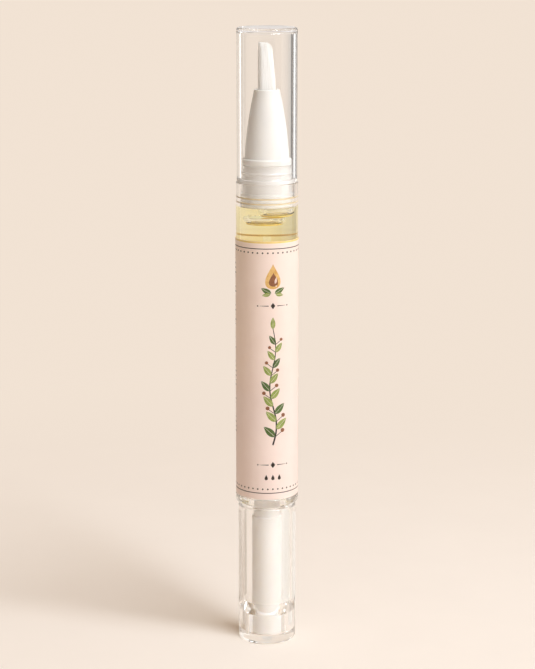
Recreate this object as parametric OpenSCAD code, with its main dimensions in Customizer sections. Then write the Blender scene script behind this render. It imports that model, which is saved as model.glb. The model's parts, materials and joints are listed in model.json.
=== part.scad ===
// Nail oil pen: a clear twist-up pen that pushes oil through a brush tip.
// The pen stands on its knob at z = 0, and every piece turns about the Z axis.
// From the floor up: knob, barrel with its label, neck collar, brush head, cap.
// Turning the knob turns the sleeve, which turns the lead screw in a fixed nut,
// so the screw climbs and lifts the piston under the oil.

/* [Knob] */
// Outside diameter of the clear twist knob
knob_d = 11.26; // [10.8:0.02:11.6]
// Height of the knob, from the floor to its rim
knob_h = 28; // [24:0.5:34]
// Wall thickness of the knob
knob_wall = 0.95; // [0.8:0.05:1.1]
// Thickness of the knob's base
knob_base_t = 1.65; // [1.2:0.05:2.2]
// Diameter of the narrow socket at the bottom of the knob's bore
socket_d = 7.2; // [6.9:0.1:7.4]
// Depth of that socket above the base
socket_h = 3.95; // [3:0.05:6]
// Height of the slanted ledge between the socket and the bore
ledge_h = 1.7; // [0.4:0.1:2.5]
// Radius of the round at the foot of the knob
knob_foot_round = 0.8; // [0.4:0.1:1.1]

/* [Barrel] */
// Outside diameter of the clear barrel
barrel_d = 11.9; // [11.7:0.1:12.6]
// Height of the barrel, from its lip to its open top
barrel_h = 63.35; // [58:0.05:80]
// Wall thickness of the barrel
barrel_wall = 0.8; // [0.65:0.05:0.85]
// Outside diameter of the lip at the barrel's lower end
lip_d = 12.2; // [12:0.1:13]
// Height of the lip
lip_h = 1.7; // [1.3:0.1:2.4]

/* [Label] */
// Thickness of the printed wrap label
label_t = 0.11; // [0.06:0.01:0.14]
// Height of the label
label_h = 50.8; // [40:0.2:54]
// Bare strip between the lip and the label
label_lift = 0.2; // [0.1:0.1:1]
// Width of the slit where the two ends of the wrap meet, at the back
label_seam = 0.6; // [0.2:0.1:2]

/* [Neck collar] */
// Height of the flange that the cap's rim stands on
flange_h = 0.75; // [0.5:0.05:1.2]
// Outside diameter of the neck inside the cap
neck_d = 9.5; // [9.2:0.1:9.7]
// Height of the neck above the flange
neck_h = 2.6; // [2:0.1:4]
// Wall thickness of the neck
neck_wall = 0.55; // [0.45:0.05:0.7]
// Length of the spigot that plugs the barrel
spigot_h = 4.55; // [3.8:0.05:7]
// Outside diameter of the spigot between its sealing ribs
spigot_d = 9.5; // [9.2:0.1:9.7]
// Number of sealing ribs on the spigot
rib_count = 3; // [1:1:3]
// Height of one sealing rib
rib_h = 0.5; // [0.3:0.05:0.6]
// Distance from one sealing rib to the next
rib_pitch = 0.95; // [0.7:0.05:1.1]

/* [Brush head] */
// Height of the cone, from the head's flange to its mouth
cone_h = 13; // [10:0.5:18]
// Diameter of the cone above the flange
cone_base_d = 8.4; // [7.8:0.1:9]
// Diameter of the cone at its mouth
cone_tip_d = 4.84; // [4.6:0.02:5.4]
// Power that bulges the cone outwards, where 1 is straight
cone_bulge = 1.6; // [1:0.1:2.2]
// Diameter of the flange that sits on the neck
head_flange_d = 9.4; // [8.8:0.1:9.5]
// Height of that flange
head_flange_h = 1.2; // [0.8:0.1:2]
// Wall thickness of the hollow head
head_wall = 0.85; // [0.7:0.05:1]
// Depth of the mouth that holds the brush
mouth_h = 4; // [3:0.1:5]
// Diameter of that mouth
mouth_d = 3.7; // [3.4:0.02:3.9]

/* [Brush] */
// Length of the bristles above the mouth
brush_h = 8.9; // [6:0.1:12]
// Thickness of the slice that the bristles grow from
slice_h = 0.4; // [0.3:0.05:0.8]
// Distance between neighbouring bristles at their roots
bristle_pitch = 0.16; // [0.155:0.005:0.175]
// Thickness of one bristle at its root
bristle_d = 0.11; // [0.08:0.01:0.12]
// Lean of the brush tip to the left
brush_lean = 0.36; // [0:0.02:0.5]
// Slope of the cut tip, from its high side to its low side
tip_slope = 0.3; // [0:0.05:1]
// Extra drop where the low side of the tip rounds over
tip_round = 0.7; // [0:0.05:1.5]

/* [Feed] */
// Outside diameter of the feed tube
tube_d = 1.6; // [1.2:0.1:1.8]
// Bore of the feed tube
tube_bore_d = 0.9; // [0.5:0.1:1]
// Height of the inner plug that closes the head's stem
plug_h = 1.5; // [1:0.1:2.5]

/* [Cap] */
// Outside diameter of the clear cap
cap_d = 11.58; // [11.4:0.02:12.4]
// Wall thickness of the cap
cap_wall = 0.8; // [0.6:0.05:0.85]
// Thickness of the cap's flat top
cap_top_t = 0.8; // [0.6:0.05:1.5]
// Room between the brush tip and the inside of the cap's top
tip_room = 1.9; // [1:0.1:6]
// Radius of the round at the top edge of the cap
cap_round = 0.45; // [0.2:0.05:0.6]

/* [Drive] */
// Diameter of the lead screw over its thread
screw_d = 3.8; // [3.4:0.1:3.9]
// Distance across the two flats of the screw
screw_flats = 2.8; // [2.4:0.1:3]
// Outside diameter of the drive sleeve inside the knob
sleeve_d = 5.86; // [5.6:0.02:6.4]
// Step by which the sleeve's foot is thicker than the sleeve
foot_step = 0.2; // [0.1:0.05:0.4]
// Number of ribs that hold the foot in the knob's socket
foot_rib_count = 3; // [3:1:4]
// Width of one such rib
foot_rib_w = 0.6; // [0.4:0.1:1]
// Wall thickness of the sleeve's slimmer neck
sleeve_neck_wall = 0.6; // [0.5:0.05:0.7]
// Length of the two-flat stretch of the sleeve's bore
drive_len = 6; // [4:0.5:8]
// Drop from the knob's rim to the top of the sleeve's wide part
sleeve_step_drop = 2.5; // [1:0.1:4]
// Height of the nut's skirt
nut_skirt_h = 7.4; // [5:0.1:10]
// Height of the threaded part of the nut
nut_h = 5.4; // [4:0.1:8]
// Wall thickness of the nut's skirt and rim
nut_wall = 0.8; // [0.6:0.05:1]
// Number of stiffening webs in the nut
nut_web_count = 4; // [3:1:6]

/* [Ratchet] */
// Number of teeth inside the ratchet ring
tooth_count = 24; // [12:1:36]
// Depth of one ratchet tooth
tooth_h = 0.4; // [0.25:0.05:0.45]
// Least wall of the ratchet ring behind its teeth
ratchet_wall = 0.37; // [0.3:0.01:0.5]
// Height of the toothed part of the ring
ratchet_h = 1.7; // [1.5:0.1:2.5]
// Thickness of the ring's top flange, which holds the sleeve down
ratchet_top_h = 0.9; // [0.6:0.1:1.4]
// Number of spring arms on the sleeve
arm_count = 2; // [2:1:3]
// Thickness of one spring arm
arm_t = 0.4; // [0.3:0.05:0.45]
// Thickness of the flange that keeps the sleeve in the barrel
keeper_h = 0.5; // [0.4:0.05:0.7]

/* [Piston] */
// Height of the piston
piston_h = 5; // [4.4:0.1:7]
// Height of each of its two wiper lips
piston_lip_h = 0.8; // [0.5:0.05:1.2]
// Depth of the waist between the lips
piston_waist = 0.4; // [0.2:0.05:0.6]
// Diameter of the screw's head, which snaps into the piston
head_d = 4.6; // [4.2:0.1:5.2]
// Height of the screw's head
head_h = 1.4; // [1:0.1:1.8]
// Thickness of the piston's floor under that head
piston_floor_t = 1.2; // [0.8:0.1:1.5]

/* [Fits] */
// Radial clearance of pieces that are pressed together
press_gap = 0.03; // [0.01:0.01:0.05]
// Radial clearance of pieces that slide or turn on each other
run_gap = 0.05; // [0.03:0.01:0.08]
// Clearance between end faces that turn on each other
end_gap = 0.1; // [0.05:0.01:0.2]
// Gap between the knob's rim and the barrel's lip
rim_gap = 0.3; // [0.15:0.05:0.5]

/* [Hidden] */

$fn = 96;
// Overrun of every cutting solid past the face that it cuts
cut = 0.2;
// Points on one quarter of a rounded edge
round_steps = 6;
// Small break of a moulded edge
edge = 0.15;

// Clear plastic, white plastic, natural plastic, label and oil as the photo shows them
clear_colour = [0.86, 0.88, 0.88, 0.35];
white_colour = [0.97, 0.96, 0.94];
natural_colour = [0.9, 0.89, 0.85, 0.8];
label_colour = [0.94, 0.84, 0.78];
oil_colour = [0.88, 0.78, 0.42, 0.6];

// Radii of the barrel, and the heights of its lip and its open top
barrel_r = barrel_d / 2;
bore_r = barrel_r - barrel_wall;
barrel_z = knob_h + rim_gap;
lip_z = barrel_z + lip_h;
barrel_top = barrel_z + barrel_h;
lip_round = lip_h * 0.45;

// Knob bore, and the sleeve's foot that is pressed into the socket
knob_r = knob_d / 2;
knob_bore_r = knob_r - knob_wall;
socket_r = socket_d / 2;
ledge_z = knob_base_t + socket_h;
foot_r = socket_r - press_gap;
lip_hole_r = foot_r + end_gap;

// Drive sleeve, from its foot up to its neck in the barrel
sleeve_r = sleeve_d / 2;
foot_core_r = sleeve_r + foot_step;
foot_rib_half = foot_rib_w / 2;
foot_rib_reach = sqrt(foot_r * foot_r - foot_rib_half * foot_rib_half);
screw_r = screw_d / 2;
screw_bore_r = screw_r + run_gap;
sleeve_bore_r = screw_bore_r + run_gap;
sleeve_neck_r = screw_bore_r + sleeve_neck_wall;
sleeve_step_z = knob_h - sleeve_step_drop;
sleeve_floor_t = keeper_h;

// Keeper flange and spring arms above the lip, inside the ratchet ring
keeper_z = lip_z + end_gap;
arm_z = keeper_z + keeper_h + end_gap;
ring_r = bore_r - press_gap;
tooth_root_r = ring_r - ratchet_wall;
tooth_tip_r = tooth_root_r - tooth_h;
pawl_r = tooth_tip_r - run_gap;
keeper_r = pawl_r - run_gap;
arm_h = ratchet_h - keeper_h - 3 * end_gap;
arm_r = pawl_r - tooth_h;
arm_hub_r = arm_r - arm_t - tooth_h;
// Angle that one spring arm sweeps, and that its root takes up
arm_sweep = 120;
arm_root_sweep = 22;
ratchet_top_z = lip_z + ratchet_h;

// Nut, whose skirt stands on the ratchet ring
nut_z = ratchet_top_z + ratchet_top_h;
nut_web_z = nut_z + nut_skirt_h;
nut_top = nut_web_z + nut_h;
nut_boss_r = screw_bore_r + 1.6 * nut_wall;
nut_floor_t = 1.5 * nut_wall;
sleeve_top = nut_web_z - 5 * end_gap;

// Piston above the nut, at the bottom of its stroke
piston_z = nut_top + 6 * end_gap;
piston_top = piston_z + piston_h;
wiper_r = bore_r - press_gap;
head_z = piston_z + piston_floor_t + end_gap;
screw_neck_r = screw_flats / 2;
// The screw hangs down the sleeve to just above the sleeve's floor
screw_z = knob_base_t + sleeve_floor_t + 4 * end_gap;

// Neck collar, and the head's stem inside it
flange_r = cap_d / 2;
neck_r = neck_d / 2;
neck_bore_r = neck_r - neck_wall;
flange_top = barrel_top + flange_h;
neck_top = flange_top + neck_h;
spigot_r = spigot_d / 2;
spigot_z = barrel_top - spigot_h;
rib_r = bore_r - press_gap;
stem_r = neck_bore_r - press_gap;
oil_top = spigot_z - press_gap;
oil_gap = run_gap;

// Brush head, its mouth and the post that the feed tube runs in
cone_z = neck_top + head_flange_h;
cone_top = cone_z + cone_h;
mouth_r = mouth_d / 2;
mouth_z = cone_top - mouth_h;
tube_r = tube_d / 2;
tube_hole_r = tube_r + press_gap;
post_r = tube_hole_r + head_wall;
stem_bore_r = stem_r - head_wall;
ceiling_z = mouth_z - head_wall;
cone_steps = 14;

// Brush, from the slice in the mouth to the cut tip
slice_r = mouth_r - press_gap * 3;
slice_z = cone_top - slice_h - edge;
root_z = slice_z + slice_h;
bristle_sink = slice_h / 4;
tip_z = cone_top + brush_h;
bristle_field_r = slice_r - bristle_d;
bristle_hole_r = tube_bore_d / 2 + bristle_d;
// Size of the tip as a share of the root, across the pen and from front to back
tip_width_share = 0.77;
tip_depth_share = 0.64;
// Thickness of a bristle at its tip as a share of its root
bristle_tip_share = 0.6;
// Corners of one bristle, and the power of the tip's round
bristle_sides = 3;
tip_round_power = 8;

// Cap, which stands on the collar's flange
cap_r = cap_d / 2;
cap_bore_r = cap_r - cap_wall;
cap_z = flange_top + press_gap;
cap_top = tip_z + tip_room + cap_top_t;
bead_r = cap_bore_r - run_gap;
bead_z = flange_top + 0.42 * neck_h;
bead_h = 3 * (bead_r - neck_r);

// Points on a rounded corner about a centre, from one angle to another
function arc(x, y, r, from, to) =
    [for (i = [0:round_steps]) let (a = from + (to - from) * i / round_steps)
        [x + r * cos(a), y + r * sin(a)]];

// Radius of the cone at a share of its height, counted from the mouth down
function cone_r(t) =
    (cone_tip_d + (cone_base_d - cone_tip_d) * (1 - pow(1 - t, cone_bulge))) / 2;

// Points down the cone's side, moved inwards by a wall, from one share to another
function cone_side(wall, from, to) =
    [for (i = [0:cone_steps]) let (t = from + (to - from) * i / cone_steps)
        [cone_r(t) - wall, cone_top - t * cone_h]];

// A ring of rectangular section
module ring(r_out, r_in, z, h) {
    translate([0, 0, z])
        difference() {
            cylinder(r = r_out, h = h);
            translate([0, 0, -cut])
                cylinder(r = r_in, h = h + 2 * cut);
        }
}

// A round bar with two flats, standing on z
module flatted(r, across, z, h) {
    translate([0, 0, z])
        intersection() {
            cylinder(r = r, h = h);
            translate([-across / 2, -r - cut, 0])
                cube([across, 2 * (r + cut), h]);
        }
}

// A wedge of the plane from angle 0 to a sweep under 180 degrees
module wedge(r, sweep) {
    reach = r / cos(sweep / 4);
    polygon([[0, 0], [reach, 0],
             [reach * cos(sweep / 2), reach * sin(sweep / 2)],
             [reach * cos(sweep), reach * sin(sweep)]]);
}

module twist_knob() {
    rim_round = knob_wall / 3;
    foot_round = knob_foot_round;
    color(clear_colour)
        rotate_extrude()
            polygon(concat(
                [[0, 0]],
                arc(knob_r - foot_round, foot_round, foot_round, -90, 0),
                arc(knob_r - rim_round, knob_h - rim_round, rim_round, 0, 90),
                [[knob_bore_r + edge, knob_h], [knob_bore_r, knob_h - edge]],
                [[knob_bore_r, ledge_z + ledge_h], [socket_r, ledge_z]],
                [[socket_r, knob_base_t], [0, knob_base_t]]));
}

// One spring arm: an arc on a root, with a pawl at its free end
module spring_arm() {
    linear_extrude(height = arm_h) {
        intersection() {
            difference() {
                circle(r = arm_r);
                circle(r = arm_r - arm_t);
            }
            wedge(arm_r + cut, arm_sweep);
        }
        intersection() {
            difference() {
                circle(r = arm_r - arm_t / 2);
                circle(r = arm_hub_r - arm_t / 2);
            }
            wedge(arm_r + cut, arm_root_sweep);
        }
        pawl_inner_r = arm_r - arm_t / 2;
        pawl_front = arm_sweep - arm_root_sweep / 8;
        pawl_back = arm_sweep - arm_root_sweep;
        polygon([[pawl_inner_r * cos(pawl_front), pawl_inner_r * sin(pawl_front)],
                 [pawl_r * cos(pawl_front), pawl_r * sin(pawl_front)],
                 [pawl_inner_r * cos(pawl_back), pawl_inner_r * sin(pawl_back)]]);
    }
}

module drive_sleeve() {
    floor_top = knob_base_t + sleeve_floor_t;
    drive_z = sleeve_top - drive_len;
    color(white_colour) {
        difference() {
            rotate_extrude()
                polygon([[0, knob_base_t], [foot_core_r, knob_base_t],
                         [foot_core_r, ledge_z - foot_step], [sleeve_r, ledge_z],
                         [sleeve_r, sleeve_step_z - edge], [sleeve_r - edge, sleeve_step_z],
                         [sleeve_neck_r, sleeve_step_z],
                         [sleeve_neck_r, keeper_z], [keeper_r, keeper_z],
                         [keeper_r, keeper_z + keeper_h], [arm_hub_r, keeper_z + keeper_h],
                         [arm_hub_r, arm_z + arm_h], [sleeve_neck_r, arm_z + arm_h],
                         [sleeve_neck_r, sleeve_top], [0, sleeve_top]]);
            translate([0, 0, floor_top])
                cylinder(r = sleeve_bore_r, h = drive_z - floor_top);
            flatted(screw_bore_r, screw_flats + 2 * run_gap, drive_z - cut, drive_len + 2 * cut);
        }
        // Press ribs that hold the foot in the knob's socket
        for (i = [0:foot_rib_count - 1])
            rotate([0, 0, 90 + i * 360 / foot_rib_count])
                translate([sleeve_r, -foot_rib_half, knob_base_t])
                    cube([foot_rib_reach - sleeve_r, foot_rib_w, socket_h - foot_step]);
        // The arms trail as the knob turns forwards, and their pawls hold it from turning back
        for (i = [0:arm_count - 1])
            rotate([0, 0, i * 360 / arm_count])
                translate([0, 0, arm_z])
                    mirror([0, 1, 0])
                        spring_arm();
    }
}

module ratchet_ring() {
    // Each tooth slopes in over most of its pitch and drops back steeply over the rest
    tooth_rise_share = 0.85;
    pitch = 360 / tooth_count;
    color(natural_colour)
        difference() {
            ring(ring_r, sleeve_neck_r + 2 * end_gap, lip_z, ratchet_h + ratchet_top_h);
            translate([0, 0, lip_z - cut])
                linear_extrude(height = ratchet_h + cut)
                    polygon([for (i = [0:tooth_count - 1], half = [0, 1])
                        let (a = (i + half * tooth_rise_share) * pitch,
                             r = half == 0 ? tooth_root_r : tooth_tip_r)
                            [r * cos(a), r * sin(a)]]);
        }
}

module drive_nut() {
    nut_r = bore_r - press_gap;
    color(natural_colour)
        difference() {
            union() {
                ring(nut_r, nut_r - nut_wall, nut_z, nut_skirt_h + nut_h);
                translate([0, 0, nut_web_z])
                    cylinder(r = nut_r - nut_wall / 2, h = nut_floor_t);
                translate([0, 0, nut_web_z])
                    cylinder(r = nut_boss_r, h = nut_h);
                for (i = [0:nut_web_count - 1])
                    rotate([0, 0, i * 360 / nut_web_count])
                        translate([0, -nut_wall / 2, nut_web_z])
                            cube([nut_r - nut_wall / 2, nut_wall, nut_h - nut_floor_t]);
            }
            translate([0, 0, nut_web_z - cut])
                cylinder(r = screw_bore_r, h = nut_h + 2 * cut);
        }
}

module lead_screw() {
    shoulder_z = piston_z - end_gap;
    head_top = head_z + head_h - 2 * end_gap;
    color(white_colour) {
        flatted(screw_r, screw_flats, screw_z, shoulder_z - screw_z);
        translate([0, 0, shoulder_z - edge])
            cylinder(r = screw_neck_r - run_gap, h = head_z - shoulder_z + 2 * edge);
        rotate_extrude()
            polygon([[0, head_z], [head_d / 2 - run_gap, head_z],
                     [head_d / 2 - run_gap, head_z + head_h / 3],
                     [screw_neck_r, head_top], [0, head_top]]);
    }
}

module piston() {
    waist_r = wiper_r - piston_waist;
    dish = piston_lip_h / 2;
    color(white_colour)
        difference() {
            rotate_extrude()
                polygon([[0, piston_z], [wiper_r - edge, piston_z],
                         [wiper_r, piston_z + edge], [wiper_r, piston_z + piston_lip_h],
                         [waist_r, piston_z + piston_lip_h + piston_waist],
                         [waist_r, piston_top - piston_lip_h - piston_waist],
                         [wiper_r, piston_top - piston_lip_h], [wiper_r, piston_top],
                         [wiper_r - piston_waist, piston_top],
                         [wiper_r - 2 * piston_waist, piston_top - dish],
                         [0, piston_top - dish]]);
            translate([0, 0, piston_z - cut])
                cylinder(r = screw_neck_r, h = piston_floor_t + 2 * cut);
            translate([0, 0, piston_z + piston_floor_t])
                cylinder(r = head_d / 2, h = head_h);
        }
}

module barrel() {
    lip_r = lip_d / 2;
    color(clear_colour)
        rotate_extrude()
            polygon(concat(
                [[lip_hole_r, barrel_z]],
                arc(lip_r - lip_round, barrel_z + lip_round, lip_round, -90, 0),
                [[lip_r, lip_z - edge / 2], [lip_r - edge / 2, lip_z], [barrel_r, lip_z]],
                [[barrel_r, barrel_top - edge], [barrel_r - edge, barrel_top]],
                [[bore_r + edge, barrel_top], [bore_r, barrel_top - edge]],
                [[bore_r, lip_z], [lip_hole_r, lip_z]]));
}

module label() {
    // The glue film holds the label just off the barrel
    glue_gap = press_gap / 2;
    label_r = barrel_r + glue_gap;
    label_z = lip_z + label_lift;
    color(label_colour)
        difference() {
            ring(label_r + label_t, label_r, label_z, label_h);
            translate([-label_seam / 2, barrel_r / 2, label_z - cut])
                cube([label_seam, barrel_r, label_h + 2 * cut]);
        }
}

module oil_fill() {
    dish = piston_lip_h / 2;
    floor_r = wiper_r - 2 * piston_waist;
    oil_r = bore_r - oil_gap;
    oil_z = piston_top + press_gap;
    color(oil_colour)
        rotate_extrude()
            polygon([[0, oil_z - dish], [floor_r - edge, oil_z - dish],
                     [floor_r + piston_waist - edge, oil_z],
                     [oil_r, oil_z], [oil_r, oil_top], [0, oil_top]]);
}

module neck_collar() {
    bead_mid = bead_h / 2;
    color(clear_colour)
        difference() {
            union() {
                translate([0, 0, spigot_z])
                    cylinder(r = spigot_r, h = barrel_top - spigot_z);
                translate([0, 0, barrel_top])
                    cylinder(r = flange_r, h = flange_h);
                rotate_extrude()
                    polygon([[0, flange_top - edge], [neck_r, flange_top - edge],
                             [neck_r, bead_z - bead_mid], [bead_r, bead_z - bead_mid / 3],
                             [bead_r, bead_z + bead_mid / 3], [neck_r, bead_z + bead_mid],
                             [neck_r, neck_top - edge], [neck_r - edge, neck_top],
                             [0, neck_top]]);
                for (i = [0:rib_count - 1])
                    translate([0, 0, spigot_z + i * rib_pitch])
                        cylinder(r = rib_r, h = rib_h);
            }
            translate([0, 0, spigot_z - cut])
                cylinder(r = neck_bore_r, h = neck_top - spigot_z + 2 * cut);
        }
}

module inner_plug() {
    color(natural_colour)
        ring(stem_bore_r - press_gap, tube_hole_r, spigot_z, plug_h);
}

module feed_tube() {
    color(natural_colour)
        ring(tube_r, tube_bore_d / 2, spigot_z, slice_z - spigot_z);
}

module brush_head() {
    pocket_z = spigot_z + plug_h;
    ceiling_share = (cone_top - ceiling_z) / cone_h;
    flange_break = edge;
    head_flange_r = head_flange_d / 2;
    color(white_colour)
        difference() {
            rotate_extrude()
                polygon(concat(
                    [[0, spigot_z], [stem_r, spigot_z], [stem_r, neck_top],
                     [head_flange_r - flange_break, neck_top],
                     [head_flange_r, neck_top + flange_break],
                     [head_flange_r, cone_z - 2 * flange_break],
                     [head_flange_r - 2 * flange_break, cone_z],
                     [cone_base_d / 2, cone_z]],
                    [for (i = [cone_steps:-1:1]) cone_side(0, 0, 1)[i]],
                    [[cone_tip_d / 2, cone_top - edge], [cone_tip_d / 2 - edge, cone_top],
                     [0, cone_top]]));
            translate([0, 0, spigot_z - cut])
                cylinder(r = stem_bore_r, h = plug_h + cut);
            rotate_extrude()
                polygon(concat(
                    [[post_r, pocket_z - edge], [stem_bore_r, pocket_z - edge],
                     [stem_bore_r, neck_top]],
                    [for (i = [cone_steps:-1:0]) cone_side(head_wall, ceiling_share, 0.95)[i]],
                    [[post_r, ceiling_z]]));
            translate([0, 0, spigot_z])
                cylinder(r = tube_hole_r, h = cone_top - spigot_z);
            translate([0, 0, mouth_z])
                cylinder(r = mouth_r, h = mouth_h + cut);
        }
}

module brush_ferrule() {
    color(natural_colour)
        ring(mouth_r - press_gap, tube_hole_r, mouth_z, slice_z - mouth_z);
}

// Place of a bristle's tip, from the place of its root
function tip_x(x) = x * tip_width_share - brush_lean;
function tip_y(y) = y * tip_depth_share;

// Height of the cut tip at a root's place across the brush, 0 at the high side
function tip_height(u) = tip_z - tip_slope * u - tip_round * pow(u, tip_round_power);

// Roots on a triangular grid inside the slice, clear of the feed tube's bore
function bristle_roots() =
    let (rows = ceil(bristle_field_r / bristle_pitch) + 1, row_h = bristle_pitch * sin(60))
        [for (j = [-rows:rows], i = [-rows:rows])
            let (x = (i + (j % 2 == 0 ? 0 : 0.5)) * bristle_pitch, y = j * row_h,
                 r = sqrt(x * x + y * y))
                if (r < bristle_field_r && r > bristle_hole_r) [x, y]];

module bristle(x, y) {
    r = bristle_d / 2;
    share = (x / bristle_field_r + 1) / 2;
    rings = [[x, y, root_z - bristle_sink, r],
             [tip_x(x), tip_y(y), tip_height(share), r * bristle_tip_share]];
    points = [for (q = rings, k = [0:bristle_sides - 1])
        let (a = 360 * k / bristle_sides) [q[0] + q[3] * cos(a), q[1] + q[3] * sin(a), q[2]]];
    n = bristle_sides;
    sides = [for (k = [0:n - 1], half = [0, 1]) let (m = (k + 1) % n)
        half == 0 ? [k, n + k, m] : [m, n + k, n + m]];
    polyhedron(points, concat([[0, 1, 2]], [[n + 2, n + 1, n]], sides));
}

module brush_tuft() {
    color(white_colour) {
        ring(slice_r, tube_bore_d / 2, slice_z, slice_h);
        for (p = bristle_roots())
            bristle(p[0], p[1]);
    }
}

module cap() {
    inner_round = cap_round / 2;
    inner_top = cap_top - cap_top_t;
    color(clear_colour)
        rotate_extrude()
            polygon(concat(
                [[cap_bore_r + edge, cap_z], [cap_r - edge, cap_z], [cap_r, cap_z + edge]],
                arc(cap_r - cap_round, cap_top - cap_round, cap_round, 0, 90),
                [[0, cap_top], [0, inner_top]],
                arc(cap_bore_r - inner_round, inner_top - inner_round, inner_round, 90, 0),
                [[cap_bore_r, cap_z + edge]]));
}

twist_knob();
drive_sleeve();
ratchet_ring();
drive_nut();
lead_screw();
piston();
barrel();
label();
oil_fill();
neck_collar();
inner_plug();
feed_tube();
brush_head();
brush_ferrule();
brush_tuft();
cap();
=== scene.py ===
import json
import math
import random

import bmesh
import bpy
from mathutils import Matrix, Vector
from mathutils.geometry import tessellate_polygon


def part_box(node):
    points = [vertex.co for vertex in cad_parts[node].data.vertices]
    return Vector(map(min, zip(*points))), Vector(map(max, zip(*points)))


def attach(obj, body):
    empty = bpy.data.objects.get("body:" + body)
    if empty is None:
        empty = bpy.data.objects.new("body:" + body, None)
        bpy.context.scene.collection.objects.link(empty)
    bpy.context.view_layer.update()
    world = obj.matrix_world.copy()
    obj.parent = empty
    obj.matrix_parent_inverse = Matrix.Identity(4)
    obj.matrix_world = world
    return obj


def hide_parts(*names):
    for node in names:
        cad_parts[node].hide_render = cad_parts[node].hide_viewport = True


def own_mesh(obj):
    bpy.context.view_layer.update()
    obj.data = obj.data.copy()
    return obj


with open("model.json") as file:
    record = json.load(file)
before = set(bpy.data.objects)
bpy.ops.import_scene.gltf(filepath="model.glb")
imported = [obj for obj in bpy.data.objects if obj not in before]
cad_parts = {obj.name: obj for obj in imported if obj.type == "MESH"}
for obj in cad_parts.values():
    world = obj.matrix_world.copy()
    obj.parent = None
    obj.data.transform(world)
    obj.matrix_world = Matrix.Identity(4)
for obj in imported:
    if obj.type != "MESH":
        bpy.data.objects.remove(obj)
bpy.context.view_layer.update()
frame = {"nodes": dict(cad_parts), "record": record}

MM = 0.001
seed = random.Random(7)

# Sizes are in mm, apart from those of nodes, the floor, the lamp, the cards and the camera

# Turned pieces: segments round one and round a corner, the largest share of a side that a round
# takes, what counts as on the axis, how far held points stand from a side's ends, the longest side
# without them, and the angle over which an edge stays sharp
TURN_STEPS = 160
SMALL_TURN_STEPS = 48
ARC_STEPS = 6
ROUND_SHARE = 0.49
ON_AXIS = 1e-6
HOLD = 0.03
SHORT_SIDE = 6 * HOLD
SHARP_ANGLE = math.radians(28)

# Walls, heights and large rounds of the turned pieces
KNOB_WALL = 0.95
KNOB_BASE = 1.65
KNOB_FOOT_ROUND = 0.8
SOCKET_R = 3.6
SOCKET_H = 3.95
LEDGE_H = 2.7
BARREL_WALL = 0.8
LIP_H = 1.7
LIP_HOLE_R = 3.67
LIP_ROUND = 0.75
CAP_WALL = 0.8
CAP_TOP = 0.8
CAP_ROUND = 0.45
NECK_R = 4.75
NECK_WALL = 0.55
NECK_H = 2.6
BEAD_SHARE = 0.42
BEAD_HALF_H = 0.3
BEAD_GAP = 0.05
FLANGE_H = 0.75
RIB_H = 0.68
RIB_PITCH = 0.95
RIB_COUNT = 3
RIB_GAP = 0.03
LABEL_SEAM = 0.6
LABEL_FILM = 0.11
GLUE_GAP = 0.015

# Brush head: the cone's sides are drawn between shares of its height, from its tip
STEM_R = 4.17
HEAD_FLANGE_H = 1.2
HEAD_WALL = 0.85
CONE_TIP_R = 2.42
CONE_TIP_EDGE = 0.01
CONE_BASE_R = 4.2
CONE_BULGE = 1.6
CONE_STEPS = 24
CONE_OUTSIDE = (0.985, 0.02)
CONE_INSIDE_END = 0.95
MOUTH_R = 1.85
MOUTH_H = 4.0
PLUG_H = 1.5
TUBE_HOLE_R = 0.83
TUBE_BORE_R = 0.45

# Brush: bristles on a triangular grid in the slice, with a hole in the middle
SLICE_R = 1.76
SLICE_H = 0.4
BRISTLE_PITCH = 0.115
BRISTLE_ROW = math.sin(math.pi / 3)
BRISTLE_HOLE_R = TUBE_BORE_R * 0.6
BRISTLE_FIELD_R = 1.68
BRISTLE_STRAY = 0.02
BRISTLE_BOW = 0.05
BRISTLE_SIDES = 6
BRISTLE_R = 0.05
BRISTLE_TAPER = ((0, 1), (0.3, 1), (0.65, 0.92), (0.96, 0.75), (1, 0.35))

# Tip of the brush: its lean to the left, its width and depth as shares of the root's, its slope
# from left to right, the round of its right edge and how uneven it is
BRUSH_LEAN = 0.36
TIP_WIDTH = 0.77
TIP_DEPTH = 0.64
TIP_SLOPE = 0.3
TIP_ROUND = 0.7
TIP_ROUND_POWER = 8
TIP_STRAY = 0.03
TIP_UNEVEN = 0.12

# Piston: it shortens the oil from below over its stroke
PISTON_LIP_H = 0.8
DISH_INSET = 0.78
DISH_SLOPE = 0.25
WET_OVERLAP = 0.02
RIB_OIL_OVERLAP = 0.01
RIB_OIL_GAP = 0.02

# Lead screw: a single right-hand thread between two flats, and the head that snaps into the piston
SCREW_R = 1.9
SCREW_FLAT = 1.4
SCREW_LEAD = 2.0
SCREW_DEPTH = 0.32
SCREW_STEPS = 36
SCREW_LEVELS = 16
GROOVE_WIDTH = 2.2
GROOVE_STEEPNESS = 7
SCREW_HEAD_H = 2.6
SNAP_SUNK = 0.1
SNAP_NECK_H = 1.2
SNAP_RIM_TOP = 1.65
SNAP_RIM = 0.35
SNAP_UNDERCUT = 0.05

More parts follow.
